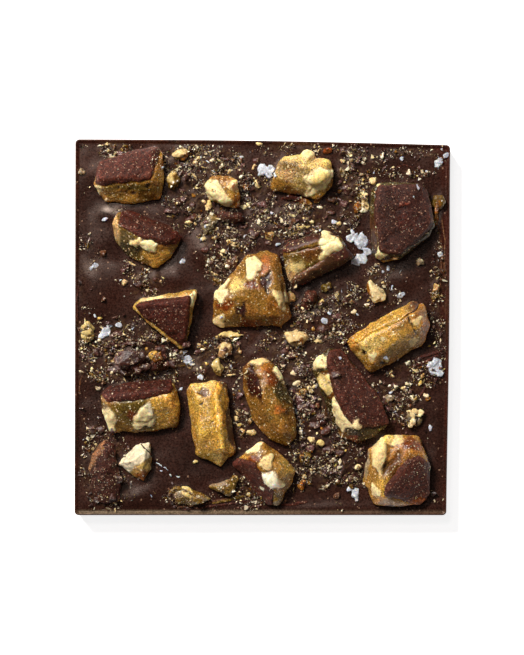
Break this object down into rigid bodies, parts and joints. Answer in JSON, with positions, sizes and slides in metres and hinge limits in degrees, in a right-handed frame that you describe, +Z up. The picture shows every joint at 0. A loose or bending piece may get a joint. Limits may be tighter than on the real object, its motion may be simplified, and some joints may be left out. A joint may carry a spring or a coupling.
{
  "type": "dark chocolate slab with walnut toffee chunks",
  "caption": "Square dark chocolate slab topped with broken chocolate-coated walnut toffee, loose nut pieces, crumbs, chocolate shavings and flaky salt.",
  "frame": {"origin": "middle of the slab's underside, which it rests on", "axes": "+Z up through the slab's thickness, +Y to the edge that is uppermost in the picture, +X to the picture's right"},
  "size_m": [0.1, 0.1, 0.0155],
  "materials": {
    "chocolate": "dark chocolate, satin",
    "coat": "dark chocolate coat, dusted with crumbs",
    "toffee": "broken golden toffee with chopped nut in it",
    "walnut": "broken walnut, cream inside and amber skin",
    "salt": "white salt flakes"
  },
  "bodies": {
    "root": {"slab": "chocolate", "chunk_01": "toffee", "chunk_01_coat_1": "coat", "chunk_02": "toffee", "chunk_02_coat_1": "coat", "chunk_03": "toffee", "chunk_03_coat_1": "coat", "chunk_04": "toffee", "chunk_05": "toffee", "chunk_06": "toffee", "chunk_06_coat_1": "coat", "chunk_07": "toffee", "chunk_07_coat_1": "coat", "chunk_07_coat_2": "coat", "chunk_08": "toffee", "chunk_09": "toffee", "chunk_09_coat_1": "coat", "chunk_10": "toffee", "chunk_10_coat_1": "coat", "chunk_11": "toffee", "chunk_12": "toffee", "chunk_12_coat_1": "coat", "chunk_13": "toffee", "chunk_13_coat_1": "coat", "chunk_14": "toffee", "chunk_14_coat_1": "coat", "chunk_15": "toffee", "chunk_15_coat_1": "coat", "chocolate_lump_01": "coat", "chocolate_lump_02": "coat", "chocolate_lump_03": "coat", "chocolate_lump_04": "coat", "chocolate_lump_05": "coat", "toffee_shard_01": "toffee", "toffee_shard_02": "toffee", "walnut_01": "walnut", "nut_01": "walnut", "nut_02": "walnut", "nut_03": "walnut", "nut_04": "walnut", "nut_05": "walnut", "nut_06": "walnut", "nut_07": "walnut", "nut_08": "walnut", "nut_09": "walnut", "nut_10": "walnut", "nut_11": "walnut"}
  },
  "joints": []
}
